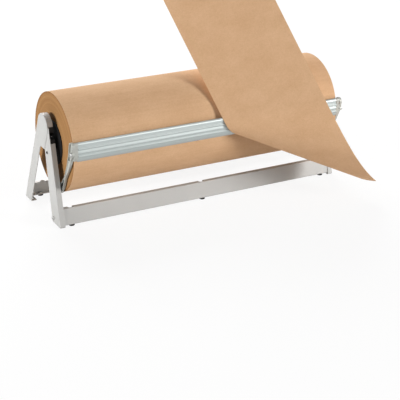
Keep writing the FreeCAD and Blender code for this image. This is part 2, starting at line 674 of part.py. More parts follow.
def knife_arm():
    solid = prism(arm_outline(), ARM_INNER_X, ARM_OUTER_X)
    eye = rod_x(ARM_EYE_RADIUS, ARM_INNER_X, ARM_OUTER_X, PIVOT)
    screw_seat = rod_x(HEAD_BOSS_RADIUS, ARM_INNER_X, ARM_OUTER_X, BAR_LOWER_PORT)
    solid = solid.fuse([eye, screw_seat, arm_pad()])
    solid = solid.cut(arm_pocket())
    solid = solid.cut(rod_x(PIVOT_RADIUS + PIVOT_CLEARANCE, ARM_INNER_X - 1, ARM_OUTER_X + 1, PIVOT))
    for port, radius in ((BAR_UPPER_PORT, UPPER_SCREW_RADIUS), (BAR_LOWER_PORT, LOWER_SCREW_RADIUS)):
        solid = solid.cut(rod_x(radius + HOLE_PLAY, BAR_END_X, ARM_OUTER_X + 1, port))
    return solid.removeSplitter()


def knife_screws():
    tip_x = BAR_END_X - BAR_PORT_DEPTH + 2
    upper = head_screw(BAR_UPPER_PORT, ARM_INNER_X + ARM_WEB, UPPER_SCREW_RADIUS, tip_x,
                       UPPER_HEAD_RADIUS, UPPER_HEAD_HEIGHT)
    lower = head_screw(BAR_LOWER_PORT, ARM_OUTER_X, LOWER_SCREW_RADIUS, tip_x,
                       LOWER_HEAD_RADIUS, LOWER_HEAD_HEIGHT)
    return Part.makeCompound(both_sides([upper, lower]))


# Paper roll, its cardboard core, the black end plugs, the shaft and the plugs' set screws
def paper_roll():
    return tube_x(ROLL_RADIUS, CORE_BORE_RADIUS + CORE_WALL, -ROLL_END_X, ROLL_END_X, ROLL_AXIS)


def roll_core():
    return tube_x(CORE_BORE_RADIUS + CORE_WALL, CORE_BORE_RADIUS, -ROLL_END_X, ROLL_END_X, ROLL_AXIS)


def core_plug():
    outer_radius = CORE_BORE_RADIUS - 0.1
    depth_x = ROLL_END_X - PLUG_DEPTH
    disc_x = ROLL_END_X - PLUG_WALL
    sleeve = tube_x(outer_radius, outer_radius - PLUG_WALL, depth_x, ROLL_END_X, ROLL_AXIS)
    disc = rod_x(outer_radius, disc_x, ROLL_END_X, ROLL_AXIS)
    flange = rod_x(PLUG_FLANGE_RADIUS, ROLL_END_X, PLUG_FLANGE_X, ROLL_AXIS)
    hub = rod_x(PLUG_HUB_RADIUS, depth_x, PLUG_HUB_X, ROLL_AXIS)
    solid = sleeve.fuse([disc, flange, hub])
    half_rib = PLUG_RIB_WIDTH / 2
    for turn in range(PLUG_RIBS):
        rib = block(depth_x + 4, disc_x, ROLL_AXIS[0] - half_rib, ROLL_AXIS[0] + half_rib,
                    ROLL_AXIS[1] + PLUG_HUB_RADIUS - 0.5, ROLL_AXIS[1] + outer_radius - PLUG_WALL + 0.6)
        rib.rotate(Vector(0, ROLL_AXIS[0], ROLL_AXIS[1]), Vector(1, 0, 0), 360 / PLUG_RIBS * turn)
        solid = solid.fuse(rib)
    solid = solid.cut(rod_x(SHAFT_RADIUS + 0.05, depth_x - 1, PLUG_HUB_X + 1, ROLL_AXIS))
    hub_top = ROLL_AXIS[1] + PLUG_HUB_RADIUS
    solid = solid.cut(rod_z(SET_SCREW_RADIUS, ROLL_AXIS[1], hub_top + 1, SET_SCREW_X, ROLL_AXIS[0]))
    return solid.removeSplitter()


def plug_set_screws():
    top = ROLL_AXIS[1] + PLUG_HUB_RADIUS - 0.6
    bottom = ROLL_AXIS[1] + SHAFT_RADIUS + 0.05
    screw = rod_z(SET_SCREW_RADIUS, bottom, top, SET_SCREW_X, ROLL_AXIS[0])
    socket = rod_z(SET_SCREW_SOCKET_RADIUS, top - SET_SCREW_SOCKET_DEPTH, top + 1, SET_SCREW_X, ROLL_AXIS[0])
    return Part.makeCompound(both_sides([screw.cut(socket)]))


def roll_shaft():
    end = FRONT_WEB_INNER_X - 0.9
    shaft = rod_x(SHAFT_RADIUS, -end, end, ROLL_AXIS)
    rims = [edge for edge in shaft.Edges if edge.Closed and abs(abs(edge.CenterOfMass.x) - end) < 0.01]
    return shaft.makeChamfer(SHAFT_CHAMFER, rims)


# Paper sheet: a flat rectangle, held at the blade on its right half, bent up along lines that fan out
def bend_line(step):
    """Both ends, on the flat sheet, of one of the lines that the sheet bends along."""
    share = step / SHEET_BEND_STEPS
    blade_x = SHEET_BEND_AT_BLADE[0] + (SHEET_BEND_AT_BLADE[1] - SHEET_BEND_AT_BLADE[0]) * share
    edge_x = SHEET_BEND_AT_EDGE[0] + (SHEET_BEND_AT_EDGE[1] - SHEET_BEND_AT_EDGE[0]) * share
    return (blade_x, 0.0), (edge_x, SHEET_PULLED_LENGTH)


def bent_planes():
    """One plane before the first bend line and one after each: a flat point, its place, and the flat axes."""
    drop = math.radians(SHEET_DROP_DEG)
    along = Vector(1, 0, 0)
    out = Vector(0, -math.cos(drop), -math.sin(drop))
    planes = [((0.0, 0.0), Vector(0, SHEET_NIP[0], SHEET_NIP[1]), along, out)]
    for step in range(SHEET_BEND_STEPS + 1):
        near, far = bend_line(step)
        start = place_on(planes[-1], near)
        turn = FreeCAD.Rotation(place_on(planes[-1], far) - start, -SHEET_BEND_DEG / (SHEET_BEND_STEPS + 1))
        along = turn.multVec(along)
        out = turn.multVec(out)
        planes.append((near, start, along, out))
    return planes


def place_on(plane, flat):
    origin, place, along, out = plane
    return place + along * (flat[0] - origin[0]) + out * (flat[1] - origin[1])


def clipped_end(near, far):
    """Where a bend line leaves the sheet: on its leading edge, or on its right edge if that comes first."""
    if far[0] <= SHEET_RIGHT_X:
        return far
    share = (SHEET_RIGHT_X - near[0]) / (far[0] - near[0])
    return (SHEET_RIGHT_X, far[1] * share)


def sheet_outline():
    """The sheet's points on the blade side and on the far side, from its right edge to its left one."""
    planes = bent_planes()
    right = place_on(planes[0], (SHEET_RIGHT_X, 0.0))
    near_side = [right]
    far_side = []
    corner_done = False
    for step in range(0, SHEET_BEND_STEPS + 1, SHEET_FACET_STEPS):
        near, far = bend_line(step)
        end = clipped_end(near, far)
        if end[1] == SHEET_PULLED_LENGTH and not corner_done:
            corner_plane = planes[step - SHEET_FACET_STEPS // 2]
            far_side.append(place_on(corner_plane, (SHEET_RIGHT_X, SHEET_PULLED_LENGTH)))
            corner_done = True
        near_side.append(place_on(planes[step], near))
        far_side.append(place_on(planes[step], end))
    near_side.append(place_on(planes[-1], (SHEET_LEFT_X, 0.0)))
    far_side.append(place_on(planes[-1], (SHEET_LEFT_X, SHEET_PULLED_LENGTH)))
    return near_side, far_side


def sheet_triangles(near_side, far_side):
    """Triangles between the two sides, each as three places, all wound the same way."""
    triangles = []
    near = 0
    far = 0
    while near < len(near_side) - 1 or far < len(far_side) - 1:
        near_left = len(near_side) - 1 - near
        far_left = len(far_side) - 1 - far
        if far_left == 0 or (near_left > 0 and near_left >= far_left):
            triangles.append((near, near + 1, len(near_side) + far))
            near += 1
        else:
            triangles.append((near, len(near_side) + far + 1, len(near_side) + far))
            far += 1
    return triangles


def paper_sheet():
    near_side, far_side = sheet_outline()
    points = near_side + far_side
    triangles = sheet_triangles(near_side, far_side)
    total = [Vector(0, 0, 0) for _ in points]
    for a, b, c in triangles:
        normal = (points[b] - points[a]).cross(points[c] - points[a]).normalize()
        for index in (a, b, c):
            total[index] = total[index] + normal
    half = SHEET_THICKNESS / 2
    front = [point + Vector(way).normalize() * half for point, way in zip(points, total)]
    back = [point - Vector(way).normalize() * half for point, way in zip(points, total)]
    faces = []
    for a, b, c in triangles:
        faces.append(Part.Face(Part.makePolygon([front[a], front[b], front[c], front[a]])))
        faces.append(Part.Face(Part.makePolygon([back[c], back[b], back[a], back[c]])))
    rim = list(range(len(near_side))) + list(reversed(range(len(near_side), len(points))))
    for place, here in enumerate(rim):
        after = rim[(place + 1) % len(rim)]
        for corners in ((front[here], back[here], back[after]), (front[here], back[after], front[after])):
            faces.append(Part.Face(Part.makePolygon(list(corners) + [corners[0]])))
    return Part.makeSolid(Part.makeShell(faces))


def build():
    save_pair(rear_leg(), "rear_leg")
    save_pair(front_leg(), "front_leg")
    save(front_rail(), "front_rail")
    save(rear_rail(), "rear_rail")
    save(rubber_feet(front_hole_y(RAIL_BOTTOM_Z)), "front_rubber_feet")
    save(rubber_feet(rear_hole_y(RAIL_BOTTOM_Z)), "rear_rubber_feet")
    save(foot_screws(), "foot_screws")
    save(rail_screws(), "rail_screws")
    save(rail_nuts(), "rail_nuts")
    save_pair(shaft_bearing(), "shaft_bearing")
    save(bearing_screws(), "bearing_screws")
    save_pair(pivot_rivet(), "pivot_rivet")
    save_pair(torsion_spring(), "torsion_spring")
    save(knife_bar(), "knife_bar")
    save(cutting_blade(), "cutting_blade")
    save_pair(knife_arm(), "knife_arm")
    save(knife_screws(), "knife_screws")
    save(paper_sheet(), "paper_sheet")
    save(paper_roll(), "paper_roll")
    save(roll_core(), "roll_core")
    save_pair(core_plug(), "core_plug")
    save(plug_set_screws(), "plug_set_screws")
    save(roll_shaft(), "roll_shaft")


build()
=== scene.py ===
import json
import math

import bpy
from mathutils import Matrix, Vector, noise


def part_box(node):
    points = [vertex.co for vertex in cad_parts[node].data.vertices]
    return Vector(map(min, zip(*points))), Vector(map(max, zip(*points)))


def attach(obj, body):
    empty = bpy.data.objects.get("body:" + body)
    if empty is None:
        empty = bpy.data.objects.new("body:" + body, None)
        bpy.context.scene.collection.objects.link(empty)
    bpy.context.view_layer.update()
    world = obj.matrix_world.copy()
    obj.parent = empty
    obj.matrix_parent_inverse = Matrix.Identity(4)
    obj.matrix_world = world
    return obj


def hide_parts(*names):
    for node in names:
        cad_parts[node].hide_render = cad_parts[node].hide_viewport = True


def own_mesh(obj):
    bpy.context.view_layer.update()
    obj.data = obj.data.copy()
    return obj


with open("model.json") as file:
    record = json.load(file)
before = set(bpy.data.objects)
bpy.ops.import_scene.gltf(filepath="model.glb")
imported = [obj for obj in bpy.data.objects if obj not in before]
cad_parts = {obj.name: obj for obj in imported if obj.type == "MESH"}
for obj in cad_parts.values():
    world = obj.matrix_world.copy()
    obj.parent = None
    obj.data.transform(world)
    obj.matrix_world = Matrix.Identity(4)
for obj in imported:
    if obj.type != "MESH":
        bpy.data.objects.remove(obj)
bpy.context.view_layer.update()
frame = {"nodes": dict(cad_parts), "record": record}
NODES = frame["nodes"]

# The camera of the photograph, fitted to the cutter: place in metres, angles in radians
CAMERA_PLACE = Vector((-1.1357, -2.1450, 1.0244))
CAMERA_YAW = 0.502
CAMERA_PITCH = 0.412
CAMERA_ROLL = 0.015
CAMERA_FOCAL_PIXELS = 1210.3
PHOTO_WIDTH_PIXELS = 400
SENSOR_WIDTH_MM = 36.0

# The floor: its tone as seen by the camera and in gloss, its tone for other light, and the white mixed in
FLOOR_SIZE = 60.0
FLOOR_TONE = (0.93, 0.93, 0.93, 1.0)
FLOOR_UNSEEN_TONE = (0.80, 0.80, 0.80, 1.0)
FLOOR_WHITENING = 0.88
AMBIENT = 0.10

# Soft lamps that point at the middle of the cutter: place and size in metres, power in watts
LAMP_TARGET = Vector((0, 0, 0.15))
LAMPS = (
    ("front light", (2.0, -2.3, 1.0), 1.0, 78.0),
    ("left light", (-3.0, -0.3, 0.75), 0.6, 62.0),
    ("right light", (2.6, -1.2, 0.35), 0.8, 14.0),
    ("back light", (0.3, 2.5, 1.9), 2.0, 118.0),
)

# The pulled-out sheet in metres: where it leaves the blade, and its size and bend lines when flat
SHEET_NIP = (-0.1255, 0.1489)
SHEET_RIGHT_X = 0.3013
SHEET_LEFT_X = -0.305
SHEET_PULLED_LENGTH = 0.202
SHEET_DROP = math.radians(74.5)
SHEET_BEND = math.radians(175.0)
SHEET_BEND_AT_BLADE = (0.0823, 0.0025)
SHEET_BEND_AT_EDGE = (0.653, 0.054)
SHEET_BEND_STEPS = 72
SHEET_THICKNESS = 0.0004

# Colours as they look on a screen, 0 to 1
KRAFT = (0.860, 0.706, 0.556)
KRAFT_FIBRE = (0.760, 0.590, 0.430)
KRAFT_END = (0.672, 0.510, 0.330)
KRAFT_END_DARK = (0.552, 0.392, 0.235)
CARDBOARD = (0.560, 0.440, 0.320)
CARDBOARD_FIBRE = (0.450, 0.350, 0.250)
PAINT = (0.738, 0.736, 0.725)
PAINT_WORN = (0.860, 0.855, 0.840)
ALUMINIUM = (0.700, 0.728, 0.722)
# The arms' grey is partly the dull zinc casting's own tone and partly painted shade: it is darkened so that
# the right arm, which lies in shadow, looks darker
ARM_ZINC_WITH_PAINTED_SHADE = (0.700, 0.705, 0.680)
ZINC = (0.700, 0.700, 0.690)
SHAFT_STEEL = (0.640, 0.640, 0.630)
SPRING_STEEL = (0.330, 0.320, 0.310)
BLACK_PLASTIC = (0.030, 0.030, 0.036)
BLACK_STEEL = (0.190, 0.185, 0.180)
RUBBER = (0.150, 0.145, 0.140)


def linear(colour):
    """A display colour, 0 to 1, as the linear colour with alpha that a shader takes."""
    channels = [c / 12.92 if c <= 0.04045 else ((c + 0.055) / 1.055) ** 2.4 for c in colour]
    return (*channels, 1.0)


# Shader node helpers
def add_node(tree, kind, **values):
    node = tree.nodes.new(kind)
    for name, value in values.items():
        setattr(node, name, value)
    return node


def set_inputs(node, **values):
    for name, value in values.items():
        node.inputs[name.replace("_", " ")].default_value = value
    return node


def object_pattern(tree, stretch):
    """Object coordinates scaled by a vector, as the start of a pattern."""
    place = add_node(tree, "ShaderNodeTexCoord")
    mapping = add_node(tree, "ShaderNodeMapping")
    mapping.inputs["Scale"].default_value = stretch
    tree.links.new(place.outputs["Object"], mapping.inputs["Vector"])
    return mapping.outputs["Vector"]


def noise_field(tree, vector, scale, detail=3.0, roughness=0.5):
    texture = add_node(tree, "ShaderNodeTexNoise")
    set_inputs(texture, Scale=scale, Detail=detail, Roughness=roughness)
    tree.links.new(vector, texture.inputs["Vector"])
    return texture.outputs["Fac"]


def remap(tree, value, low, high, new_low, new_high):
    node = add_node(tree, "ShaderNodeMapRange")
    set_inputs(node, From_Min=low, From_Max=high, To_Min=new_low, To_Max=new_high)
    tree.links.new(value, node.inputs["Value"])
    return node.outputs["Result"]


def combine(tree, operation, first, second):
    node = add_node(tree, "ShaderNodeMath", operation=operation)
    for socket, value in zip(node.inputs, (first, second)):
        if isinstance(value, (int, float)):
            socket.default_value = value
        else:
            tree.links.new(value, socket)
    return node.outputs["Value"]


def mix_colour(tree, factor, first, second):
    node = add_node(tree, "ShaderNodeMix", data_type="RGBA")
    for index, value in ((0, factor), (6, first), (7, second)):
        if hasattr(value, "links"):
            tree.links.new(value, node.inputs[index])
        else:
            node.inputs[index].default_value = value
    return node.outputs[2]


def new_group(name, inputs, outputs):
    tree = bpy.data.node_groups.new(name, "ShaderNodeTree")
    for label, kind, default in inputs:
        socket = tree.interface.new_socket(label, in_out="INPUT", socket_type=kind)
        socket.default_value = default
    for label, kind in outputs:
        tree.interface.new_socket(label, in_out="OUTPUT", socket_type=kind)
    return tree, add_node(tree, "NodeGroupInput"), add_node(tree, "NodeGroupOutput")


# Groups of nodes that several finishes share
def make_fine_grain_group():
    """An even speckle, as of powder coat or moulded plastic: a mask and a height."""
    inputs = [("Scale", "NodeSocketFloat", 900.0), ("Cloud Scale", "NodeSocketFloat", 9.0)]
    outputs = [("Height", "NodeSocketFloat"), ("Cloud", "NodeSocketFloat")]
    tree, given, result = new_group("fine grain", inputs, outputs)
    vector = object_pattern(tree, (1, 1, 1))
    for source, detail, output in (("Scale", 2.0, "Height"), ("Cloud Scale", 4.0, "Cloud")):
        texture = add_node(tree, "ShaderNodeTexNoise")
        texture.inputs["Detail"].default_value = detail
        tree.links.new(vector, texture.inputs["Vector"])
        tree.links.new(given.outputs[source], texture.inputs["Scale"])
        tree.links.new(texture.outputs["Fac"], result.inputs[output])
    return tree


def make_edge_group():
    """A mask that is 1 on outside and inside edges and 0 on flat faces, and the rounded normal."""
    inputs = [("Radius", "NodeSocketFloat", 0.0006)]
    outputs = [("Edge", "NodeSocketFloat"), ("Normal", "NodeSocketVector")]
    tree, given, result = new_group("edge wear", inputs, outputs)
    rounded = add_node(tree, "ShaderNodeBevel", samples=6)
    tree.links.new(given.outputs["Radius"], rounded.inputs["Radius"])
    geometry = add_node(tree, "ShaderNodeNewGeometry")
    facing = add_node(tree, "ShaderNodeVectorMath", operation="DOT_PRODUCT")
    tree.links.new(rounded.outputs["Normal"], facing.inputs[0])
    tree.links.new(geometry.outputs["True Normal"], facing.inputs[1])
    edge = remap(tree, facing.outputs["Value"], 0.98, 0.80, 0.0, 1.0)
    tree.links.new(edge, result.inputs["Edge"])
    tree.links.new(rounded.outputs["Normal"], result.inputs["Normal"])
    return tree


def make_paper_group():
    """Kraft paper: fibres both ways, specks, a soft cloudiness, a fine mottle and lines along the roll."""
    inputs = [
        ("Colour", "NodeSocketColor", linear(KRAFT)),
        ("Fibre Colour", "NodeSocketColor", linear(KRAFT_FIBRE)),
        ("Cloudiness", "NodeSocketFloat", 0.35),
        ("Fibres", "NodeSocketFloat", 0.30),
    ]
    outputs = [("Colour", "NodeSocketColor"), ("Height", "NodeSocketFloat"), ("Roughness", "NodeSocketFloat")]
    tree, given, result = new_group("kraft paper", inputs, outputs)
    cloud = noise_field(tree, object_pattern(tree, (0.5, 1.0, 1.0)), 30.0, 5.0, 0.6)
    along = noise_field(tree, object_pattern(tree, (1.0, 0.12, 0.12)), 900.0, 3.0, 0.6)
    across = noise_field(tree, object_pattern(tree, (0.16, 1.0, 1.0)), 700.0, 3.0, 0.6)
    specks = noise_field(tree, object_pattern(tree, (1, 1, 1)), 520.0, 1.0, 0.4)
    mottle = noise_field(tree, object_pattern(tree, (0.6, 1.0, 1.0)), 430.0, 2.0, 0.6)
    wound_lines = noise_field(tree, object_pattern(tree, (0.02, 1.0, 1.0)), 240.0, 2.0, 0.6)
    along_mask = remap(tree, along, 0.50, 0.75, 0.0, 0.5)
    across_mask = remap(tree, across, 0.50, 0.75, 0.0, 0.5)
    fibres = combine(tree, "ADD", along_mask, across_mask)
    speck_mask = remap(tree, specks, 0.70, 0.78, 0.0, 0.5)
    cloud_mask = remap(tree, cloud, 0.35, 0.70, 0.0, 1.0)
    cloud_share = combine(tree, "MULTIPLY", cloud_mask, given.outputs["Cloudiness"])
    fibre_share = combine(tree, "MULTIPLY", combine(tree, "ADD", fibres, speck_mask), given.outputs["Fibres"])
    share = combine(tree, "ADD", cloud_share, fibre_share)
    mottle_share = remap(tree, mottle, 0.35, 0.65, 0.0, 0.20)
    line_share = remap(tree, wound_lines, 0.35, 0.65, 0.0, 0.10)
    tooth = combine(tree, "ADD", mottle_share, line_share)
    limited = combine(tree, "MINIMUM", combine(tree, "ADD", share, tooth), 1.0)
    colour = mix_colour(tree, limited, given.outputs["Colour"], given.outputs["Fibre Colour"])
    tree.links.new(colour, result.inputs["Colour"])
    tree.links.new(combine(tree, "ADD", fibres, specks), result.inputs["Height"])
    tree.links.new(remap(tree, fibres, 0.0, 1.0, 0.92, 0.78), result.inputs["Roughness"])
    return tree


def make_drawn_lines_group():
    """Fine lines along X, as on an extrusion or a drawn bar: a mask and a height."""
    inputs = [("Line Scale", "NodeSocketFloat", 1500.0)]
    outputs = [("Mask", "NodeSocketFloat"), ("Height", "NodeSocketFloat")]
    tree, given, result = new_group("drawn lines", inputs, outputs)
    vector = object_pattern(tree, (0.004, 1.0, 1.0))
    texture = add_node(tree, "ShaderNodeTexNoise")
    set_inputs(texture, Detail=4.0, Roughness=0.65)
    tree.links.new(vector, texture.inputs["Vector"])
    tree.links.new(given.outputs["Line Scale"], texture.inputs["Scale"])
    tree.links.new(remap(tree, texture.outputs["Fac"], 0.3, 0.7, 0.0, 1.0), result.inputs["Mask"])
    tree.links.new(texture.outputs["Fac"], result.inputs["Height"])
    return tree


GRAIN = make_fine_grain_group()
EDGE = make_edge_group()
PAPER = make_paper_group()
LINES = make_drawn_lines_group()


def group_node(tree, group, **values):
    node = add_node(tree, "ShaderNodeGroup", node_tree=group)
    return set_inputs(node, **values)


def new_finish(name, **values):
    material = bpy.data.materials.new(name)
    material.use_nodes = True
    shader = material.node_tree.nodes["Principled BSDF"]
    set_inputs(shader, **values)
    return material, material.node_tree, shader


def bump(tree, shader, height, strength, distance, normal=None):
    node = add_node(tree, "ShaderNodeBump")
    set_inputs(node, Strength=strength, Distance=distance)
    tree.links.new(height, node.inputs["Height"])
    if normal is not None:
        tree.links.new(normal, node.inputs["Normal"])
    tree.links.new(node.outputs["Normal"], shader.inputs["Normal"])


def shaded(colour, factor):
    """A display colour made lighter or darker, as a linear colour with alpha."""
    return (*(min(1.0, channel * factor) for channel in linear(colour)[:3]), 1.0)


def cloudy_roughness(tree, shader, cloud, smoothest, roughest):
    tree.links.new(remap(tree, cloud, 0.3, 0.7, smoothest, roughest), shader.inputs["Roughness"])


def worn_colour(tree, edge, cloud, base, worn, edge_share, shade=0.94):
    """The base colour, cloudy between itself and a slightly darker shade, with worn edges."""
    cloud_mask = remap(tree, cloud, 0.35, 0.65, 0.0, 1.0)
    clouded = mix_colour(tree, cloud_mask, linear(base), shaded(base, shade))
    return mix_colour(tree, combine(tree, "MULTIPLY", edge, edge_share), clouded, linear(worn))


def painted_steel(name, base, worn, roughness):
    material, tree, shader = new_finish(name, Metallic=0.0, Roughness=roughness)
    grain = group_node(tree, GRAIN, Scale=1400.0, Cloud_Scale=14.0)
    edge = group_node(tree, EDGE, Radius=0.0006)
    colour = worn_colour(tree, edge.outputs["Edge"], grain.outputs["Cloud"], base, worn, 0.45)
    tree.links.new(colour, shader.inputs["Base Color"])
    cloudy_roughness(tree, shader, grain.outputs["Cloud"], roughness - 0.06, roughness + 0.08)
    bump(tree, shader, grain.outputs["Height"], 0.12, 0.0002, edge.outputs["Normal"])
    return material


def bare_metal(name, base, roughness, line_scale, line_depth, shade=0.75, metallic=1.0):
    material, tree, shader = new_finish(name, Metallic=metallic, Roughness=roughness)
    lines = group_node(tree, LINES, Line_Scale=line_scale)
    grain = group_node(tree, GRAIN, Scale=1200.0, Cloud_Scale=20.0)
    edge = group_node(tree, EDGE, Radius=0.0004)
    line_share = combine(tree, "MULTIPLY", lines.outputs["Mask"], 0.5)
    lined = mix_colour(tree, line_share, linear(base), shaded(base, shade))
    edge_share = combine(tree, "MULTIPLY", edge.outputs["Edge"], 0.5)
    colour = mix_colour(tree, edge_share, lined, shaded(base, 1.25))
    tree.links.new(colour, shader.inputs["Base Color"])
    cloudy_roughness(tree, shader, grain.outputs["Cloud"], roughness - 0.06, roughness + 0.08)
    bump(tree, shader, lines.outputs["Height"], line_depth, 0.0002, edge.outputs["Normal"])
    return material


def moulded(name, base, roughness, grain_scale, grain_depth):
    material, tree, shader = new_finish(name, Metallic=0.0, Roughness=roughness, Specular_IOR_Level=0.3)
    grain = group_node(tree, GRAIN, Scale=grain_scale, Cloud_Scale=25.0)
    edge = group_node(tree, EDGE, Radius=0.0005)
    paler = tuple(min(1.0, channel + 0.06) for channel in base)
    colour = worn_colour(tree, edge.outputs["Edge"], grain.outputs["Cloud"], base, paler, 0.5, 0.8)
    tree.links.new(colour, shader.inputs["Base Color"])
    cloudy_roughness(tree, shader, grain.outputs["Cloud"], roughness - 0.05, roughness + 0.1)
    bump(tree, shader, grain.outputs["Height"], grain_depth, 0.0003, edge.outputs["Normal"])
    return material


def kraft_finish(name, base, fibre, cloudiness, fibres):
    material, tree, shader = new_finish(name, Metallic=0.0, Specular_IOR_Level=0.25)
    paper = group_node(tree, PAPER, Colour=linear(base), Fibre_Colour=linear(fibre),
                       Cloudiness=cloudiness, Fibres=fibres)
    tree.links.new(paper.outputs["Colour"], shader.inputs["Base Color"])
    tree.links.new(paper.outputs["Roughness"], shader.inputs["Roughness"])
    bump(tree, shader, paper.outputs["Height"], 0.25, 0.0002)
    return material


# The last few layers of the roll are darker at their edges, from here inwards of its outside
DARK_RIM_START = 0.0050
DARK_RIM_FULL = 0.0015


def wound_end_finish():
    """The roll's end faces: thin rings of paper edges round the roll's axis, darker at the rim."""
    material, tree, shader = new_finish("kraft paper edges", Metallic=0.0, Roughness=0.9,
                                        Specular_IOR_Level=0.2)
    place = add_node(tree, "ShaderNodeTexCoord")
    centred = add_node(tree, "ShaderNodeVectorMath", operation="SUBTRACT")
    centred.inputs[1].default_value = ROLL_CENTRE
    flattened = add_node(tree, "ShaderNodeVectorMath", operation="MULTIPLY")
    flattened.inputs[1].default_value = (0, 1, 1)
    distance = add_node(tree, "ShaderNodeVectorMath", operation="LENGTH")
    tree.links.new(place.outputs["Object"], centred.inputs[0])
    tree.links.new(centred.outputs["Vector"], flattened.inputs[0])
    tree.links.new(flattened.outputs["Vector"], distance.inputs[0])
    ring = add_node(tree, "ShaderNodeTexNoise", noise_dimensions="1D")
    set_inputs(ring, Scale=900.0, Detail=6.0, Roughness=0.75)
    tree.links.new(distance.outputs["Value"], ring.inputs["W"])
    broad = add_node(tree, "ShaderNodeTexNoise", noise_dimensions="1D")
    set_inputs(broad, Scale=90.0, Detail=3.0)
    tree.links.new(distance.outputs["Value"], broad.inputs["W"])
    fine_share = remap(tree, ring.outputs["Fac"], 0.3, 0.7, 0.0, 0.55)
    broad_share = remap(tree, broad.outputs["Fac"], 0.3, 0.7, 0.0, 0.45)
    rim_share = remap(tree, distance.outputs["Value"], ROLL_RADIUS - DARK_RIM_START,
                      ROLL_RADIUS - DARK_RIM_FULL, 0.0, 0.5)
    dark_share = combine(tree, "ADD", combine(tree, "ADD", fine_share, broad_share), rim_share)
    colour = mix_colour(tree, dark_share, linear(KRAFT_END), linear(KRAFT_END_DARK))
    tree.links.new(colour, shader.inputs["Base Color"])
    bump(tree, shader, ring.outputs["Fac"], 0.5, 0.0006)
    return material


ROLL_LOW, ROLL_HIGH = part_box("paper_roll")
ROLL_CENTRE = (ROLL_LOW + ROLL_HIGH) / 2
ROLL_RADIUS = (ROLL_HIGH.z - ROLL_LOW.z) / 2
CORE_LOW, CORE_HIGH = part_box("roll_core")
CORE_RADIUS = (CORE_HIGH.z - CORE_LOW.z) / 2

FINISHES = {
    "frame_paint": painted_steel("light gray powder coat", PAINT, PAINT_WORN, roughness=0.42),
    # The arms: partly the casting's own tone, partly painted shade for the shaded right arm
    "arm_casting": bare_metal("zinc casting with painted shade", ARM_ZINC_WITH_PAINTED_SHADE, roughness=0.45, line_scale=700.0,
                              line_depth=0.08, shade=0.85, metallic=0.1),
    "bar_aluminium": bare_metal("satin aluminium extrusion", ALUMINIUM, roughness=0.48, line_scale=1600.0,
                                line_depth=0.25, shade=0.80, metallic=0.75),
    "blade_steel": bare_metal("ground blade steel", ZINC, roughness=0.30, line_scale=2600.0, line_depth=0.15),
    "shaft_steel": bare_metal("drawn steel bar", SHAFT_STEEL, roughness=0.32, line_scale=1800.0,
                              line_depth=0.2),
    "zinc_steel": bare_metal("zinc plated steel", ZINC, roughness=0.36, line_scale=900.0, line_depth=0.1,
                             shade=0.9),
    "black_steel": moulded("black oxide steel", BLACK_STEEL, roughness=0.40, grain_scale=1500.0,
                           grain_depth=0.05),
    "spring_steel": bare_metal("oiled spring wire", SPRING_STEEL, roughness=0.35, line_scale=1200.0,
                               line_depth=0.1),
    "black_plastic": moulded("black moulded nylon", BLACK_PLASTIC, roughness=0.60, grain_scale=1100.0,
                             grain_depth=0.15),
    "foot_rubber": moulded("black rubber", RUBBER, roughness=0.75, grain_scale=800.0, grain_depth=0.3),
    "kraft_paper": kraft_finish("kraft paper", KRAFT, KRAFT_FIBRE, cloudiness=0.30, fibres=0.35),
    "core_cardboard": kraft_finish("core board", CARDBOARD, CARDBOARD_FIBRE, cloudiness=0.5, fibres=0.5),
}
PAPER_EDGES = wound_end_finish()


def dress_frame_nodes():
    """Each node of the frame takes the finish of its slot in the record."""
    for entry in frame["record"]["subparts"]:
        node = NODES[entry["node"]]
        if not node.material_slots:
            node.data.materials.append(None)
        for slot in node.material_slots:
            slot.material = FINISHES[entry["material_slot"]]


def deselect_all():
    if bpy.context.mode != "OBJECT":
        bpy.ops.object.mode_set(mode="OBJECT")
    bpy.ops.object.select_all(action="DESELECT")


def start_editing(piece):
    deselect_all()
    piece.select_set(True)
    bpy.context.view_layer.objects.active = piece
    bpy.ops.object.mode_set(mode="EDIT")
    bpy.ops.mesh.select_all(action="DESELECT")
    bpy.ops.object.mode_set(mode="OBJECT")


def finish_piece(piece, name, smooth_degrees):
    """Names the piece, puts its place into its mesh and smooths its shallow edges."""
    deselect_all()
    piece.name = name
    piece.data.name = name
    piece.select_set(True)
    bpy.context.view_layer.objects.active = piece
    bpy.ops.object.transform_apply(location=True, rotation=True, scale=True)
    bpy.ops.object.shade_smooth_by_angle(angle=math.radians(smooth_degrees))
    return piece


def select_faces(piece, wanted):
    """Selects, in edit mode, the faces for which wanted(face) is true."""
    bpy.ops.object.mode_set(mode="OBJECT")
    for face in piece.data.polygons:
        face.select = bool(wanted(face))
    for vertex in piece.data.vertices:
        vertex.select = False
    for edge in piece.data.edges:
        edge.select = False
    bpy.ops.object.mode_set(mode="EDIT")
    bpy.ops.mesh.select_mode(type="FACE")


# Paper roll: wound paper whose end faces step in and out by fractions of a millimetre
ROLL_SEGMENTS = 192
ROLL_RINGS = 24
RING_STEP = 0.00035
RING_SPREAD = 1.7
SIDE_SPREAD = 9.1


